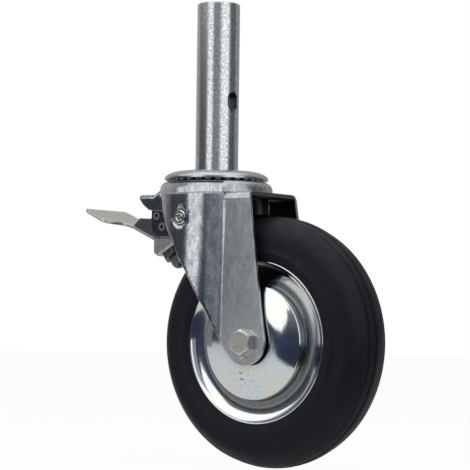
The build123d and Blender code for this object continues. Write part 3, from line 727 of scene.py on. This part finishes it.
class CASTOR_OT_rims(bpy.types.Operator):
    """Turn the two pressed discs of the rim"""

    bl_idname = "castor.rims"
    bl_label = "Rim discs"

    def execute(self, context):
        sizes = context.scene.castor_sizes
        face = smooth_line([(33.3, 20), (33.05, 26), (32.1, 32.5), (30.6, 38.6), (28.75, 43.5)])
        face += smooth_line([(28.45, 44.3), (28.1, 44.95), (27.4, 45.35), (26.2, 45.6)], 3)
        face += smooth_line([(21.6, 46.2), (21.0, 46.5), (20.7, 47.0), (20.6, 47.8)], 3)
        groove = [(20.5, 50), (20.6, 53), (21.1, 56), (21.9, 58.8), (23, 61), (24.1, 62.4), (25, 63.2)]
        face += smooth_line(groove)
        face += smooth_line([(25.25, 63.6), (25.15, 64.1), (24.6, 64.35), (23.4, 64.3)], 3)
        behind = [(19.5, 60.6), (18.6, 56.6), (18.2, 52.5), (18.3, 48), (19.6, 44.9), (22.6, 43.7), (26, 43)]
        back = smooth_line(behind)
        back += [(29.6, 32.5), (30.8, 21)]
        outline = [(33.3, 17), *face, *back, (30.8, 17), (33.3, 17)]
        for name, hand in (("rim_near", -1), ("rim_far", 1)):
            finish_piece(
                "turned_" + name,
                turned([(hand * along, out) for along, out in outline], AXLE, (0, 1, 0), sizes.turn_steps),
                "wheel",
                NODES[name].data.materials[0],
                [name],
                sharp=50,
            )
        return {"FINISHED"}


class CASTOR_OT_finishes(bpy.types.Operator):
    """Give every node of the castor its finish"""

    bl_idname = "castor.finishes"
    bl_label = "Finishes"

    def execute(self, context):
        colours = context.scene.castor_colours
        dress(galvanised_tube(colours), "stem_tube")
        dress(zinc_pressing(colours), "fork")
        dress(plain_steel("zinc_plated_cap", "#c3c6c8", "#8b8f92", 0.24), "bearing_cap")
        dress(plain_steel("zinc_plated_lever", "#b0b4bb", "#7d8188", 0.2), "brake_lever")
        plate = plain_steel("zinc_plated_side_plate", "#7f848d", "#565a62", 0.18)
        dress(plate, "brake_side_near", "brake_side_far")
        dress(plain_steel("trodden_zinc_pad", "#cfcdc8", "#a3a19c", 0.42, 0.9), "pedal_plate")
        dress(bright_rim(colours), "rim_near", "rim_far")
        dress(forged_bolt(colours), "axle_bolt", "axle_nut", "axle_washer")
        dress(plain_steel("bright_rivet_head", "#dcdcd8", "#a8a8a4", 0.16, 0.7), "brake_pivot")
        dress(tyre_rubber(colours), "tyre")
        dark = plain_steel("oiled_dark_steel", "#7c7a78", "#3c3a39", 0.4)
        dress(plain_steel("worn_steel_block", "#c6c5c8", "#858487", 0.34), "brake_block")
        dress(dark, "lock_nut", "adjusting_screw", "lock_tooth", "lock_ring", "lower_race")
        bare = plain_steel("bare_turned_steel", "#a5a6a8", "#808184", 0.3)
        dress(bare, "king_pin", "spacer_sleeve", "pivot_spacers", "axle_sleeve", "hub_washers", "hub_tube")
        dress(bare, "side_rivets", "pedal_rivets", "upper_balls", "lower_balls", "rollers")
        dress(plain_plastic("pale_cage_plastic", "#c9c3b0"), "roller_cage")
        dress(plain_plastic("black_seal_plastic", "#1a1a1a"), "hub_seals")
        return {"FINISHED"}


class CASTOR_OT_edges(bpy.types.Operator):
    """Round the cut edges of the pressing, the brake's plates and the block"""

    bl_idname = "castor.edges"
    bl_label = "Edges"

    def execute(self, context):
        width = context.scene.castor_sizes.edge
        plates = ("brake_lever", "brake_side_near", "brake_side_far", "pedal_plate", "brake_block")
        round_edges(width, "fork", *plates)
        return {"FINISHED"}


class CASTOR_PT_panel(bpy.types.Panel):
    """Sidebar panel with the castor's steps and values"""

    bl_idname = "CASTOR_PT_panel"
    bl_label = "Scaffold castor"
    bl_space_type = "VIEW_3D"
    bl_region_type = "UI"
    bl_category = "Castor"

    def draw(self, context):
        for step in STEPS:
            self.layout.operator(step.bl_idname)
        scene = context.scene
        for group in (scene.castor_sizes, scene.castor_colours, scene.castor_stage):
            for name in group.__annotations__:
                self.layout.prop(group, name)


STEPS = (CASTOR_OT_finishes, CASTOR_OT_edges, CASTOR_OT_tyre, CASTOR_OT_rims, CASTOR_OT_stage)
CLASSES = (CastorColours, CastorSizes, CastorStage, *STEPS, CASTOR_PT_panel)


def register():
    """Register the classes and hang the values on the scene."""
    for made in CLASSES:
        bpy.utils.register_class(made)
    bpy.types.Scene.castor_sizes = bpy.props.PointerProperty(type=CastorSizes)
    bpy.types.Scene.castor_colours = bpy.props.PointerProperty(type=CastorColours)
    bpy.types.Scene.castor_stage = bpy.props.PointerProperty(type=CastorStage)


def unregister():
    """Take the values and the classes away again."""
    del bpy.types.Scene.castor_stage
    del bpy.types.Scene.castor_colours
    del bpy.types.Scene.castor_sizes
    for made in reversed(CLASSES):
        bpy.utils.unregister_class(made)


def main():
    """Run every step."""
    register()
    bpy.ops.castor.finishes()
    bpy.ops.castor.edges()
    bpy.ops.castor.tyre()
    bpy.ops.castor.rims()
    bpy.ops.castor.stage()


if __name__ == "__main__":
    main()
